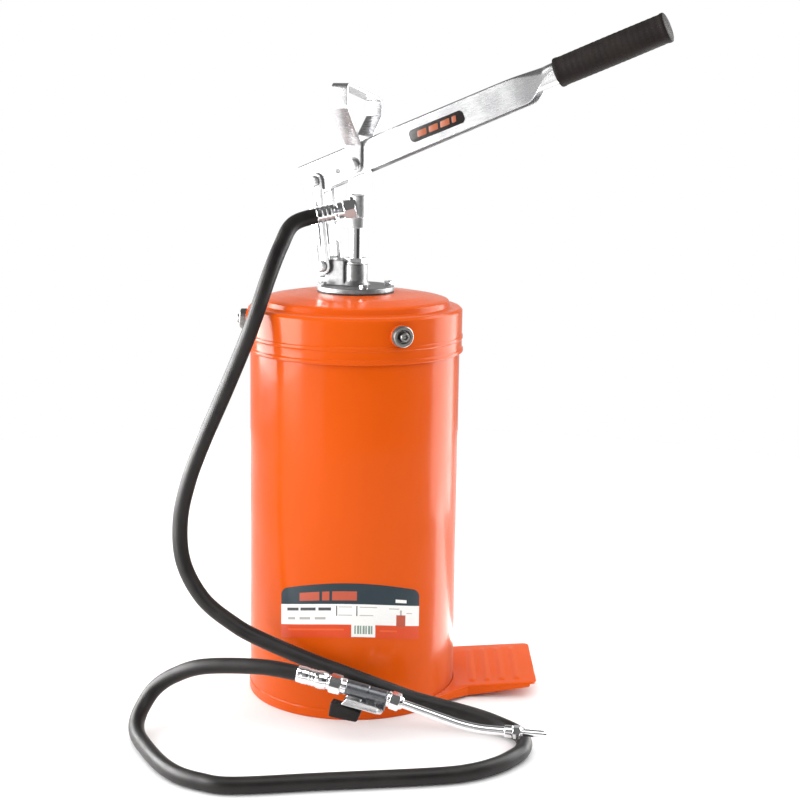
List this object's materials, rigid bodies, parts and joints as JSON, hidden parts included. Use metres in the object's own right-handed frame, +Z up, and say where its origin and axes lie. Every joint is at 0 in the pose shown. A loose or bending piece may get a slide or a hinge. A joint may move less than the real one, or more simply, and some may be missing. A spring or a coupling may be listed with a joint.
{
  "type": "gear oil pump",
  "caption": "Lever-operated gear oil pump: an oil drum with a foot pedal, a clamped lid with a plunger pump, and a delivery hose with a trigger gun.",
  "frame": {"origin": "on the drum's axis, at the base ring's underside, on the floor", "axes": "+Z up along the drum and the plunger; +X towards the foot pedal; -Y towards the front, where the label is"},
  "size_m": [0.5579, 0.4465, 0.7634],
  "materials": {
    "orange_paint": "gloss",
    "label_print": "satin",
    "zinc_plate": "satin",
    "cast_zinc": "satin",
    "chrome_rod": "polished",
    "bearing_steel": "polished",
    "gun_casting": "satin",
    "brass_parts": "satin",
    "seal_rubber": "matte",
    "hose_rubber": "satin",
    "grip_foam": "matte",
    "badge_print": "gloss"
  },
  "bodies": {
    "drum": {"drum_shell": "orange_paint", "drum_bottom": "orange_paint", "base_ring": "orange_paint", "foot_pedal": "orange_paint", "drum_label": "label_print", "lid": "orange_paint", "lid_gasket": "seal_rubber", "clamp_lugs": "orange_paint", "clamp_screws": "zinc_plate", "clamp_washers": "zinc_plate", "clamp_nuts": "zinc_plate", "pump_flange": "cast_zinc", "flange_gasket": "seal_rubber", "flange_bolts": "zinc_plate", "flange_nuts": "zinc_plate", "gland_nut": "cast_zinc", "rod_packing": "seal_rubber", "pump_barrel": "zinc_plate", "foot_valve_body": "brass_parts", "foot_valve_pin": "zinc_plate", "suction_strainer": "zinc_plate", "hose_lower": "hose_rubber", "gun_ferrule": "chrome_rod", "gun_inlet_nut": "chrome_rod", "gun_body": "gun_casting", "gun_front_nut": "chrome_rod", "gun_tube": "chrome_rod", "gun_coupler": "chrome_rod", "gun_tip_nut": "chrome_rod", "gun_tip": "chrome_rod", "trigger_pin": "zinc_plate", "valve_spring": "zinc_plate"},
    "foot_valve": {"foot_valve_ball": "bearing_steel"},
    "plunger": {"piston_rod": "chrome_rod", "piston": "brass_parts", "piston_cup": "seal_rubber", "pump_head": "cast_zinc", "carry_strap": "zinc_plate", "head_pin": "zinc_plate", "hose_nipple": "chrome_rod", "hose_nut": "chrome_rod", "upper_ferrule": "chrome_rod", "hose_upper": "hose_rubber"},
    "delivery_valve": {"delivery_ball": "bearing_steel"},
    "link": {"link_plates": "zinc_plate", "link_top_pin": "zinc_plate", "link_lower_pin": "zinc_plate"},
    "lever": {"lever_channel": "zinc_plate", "handle_bar": "zinc_plate", "hand_grip": "grip_foam", "lever_badge": "badge_print"},
    "trigger": {"gun_trigger": "zinc_plate", "trigger_sleeve": "hose_rubber"},
    "stem": {"valve_stem": "zinc_plate"}
  },
  "joints": [
    {"name": "rod_slide", "type": "slide", "parent": "drum", "child": "plunger", "axis": [0, 0, 1], "range_m": [-0.0325, 0.0172], "deforming": ["hose_upper"]},
    {"name": "lever_swing", "type": "hinge", "parent": "plunger", "child": "lever", "pos_m": [0.00371, -0.0015, 0.601], "axis": [-0.3746, -0.9272, 0], "range_deg": [-34, 18]},
    {"name": "link_swing", "type": "hinge", "parent": "drum", "child": "link", "pos_m": [-0.03106, 0.01255, 0.4875], "axis": [-0.3746, -0.9272, 0], "range_deg": [-2.4, 4.5]},
    {"name": "foot_valve_lift", "type": "slide", "parent": "drum", "child": "foot_valve", "axis": [0, 0, 1], "range_m": [0, 0.004]},
    {"name": "delivery_valve_lift", "type": "slide", "parent": "plunger", "child": "delivery_valve", "axis": [0, 0, 1], "range_m": [0, 0.003]},
    {"name": "trigger_squeeze", "type": "hinge", "parent": "drum", "child": "trigger", "pos_m": [0.03662, -0.1821, 0.03943], "axis": [0.1874, 0.9823, 0], "range_deg": [0, 8], "stiffness_Nm_per_rad": 0.5, "springref_deg": -20.05},
    {"name": "stem_lift", "type": "slide", "parent": "drum", "child": "stem", "axis": [0.1925, -0.0367, 0.9806], "range_m": [0, 0.0028], "deforming": ["valve_spring"]}
  ],
  "couplings": [
    {"joint": "rod_slide", "follows": "lever_swing", "m_per_rad": 0.0545},
    {"joint": "link_swing", "follows": "lever_swing", "ratio": -0.13},
    {"joint": "stem_lift", "follows": "trigger_squeeze", "m_per_rad": 0.0195}
  ]
}
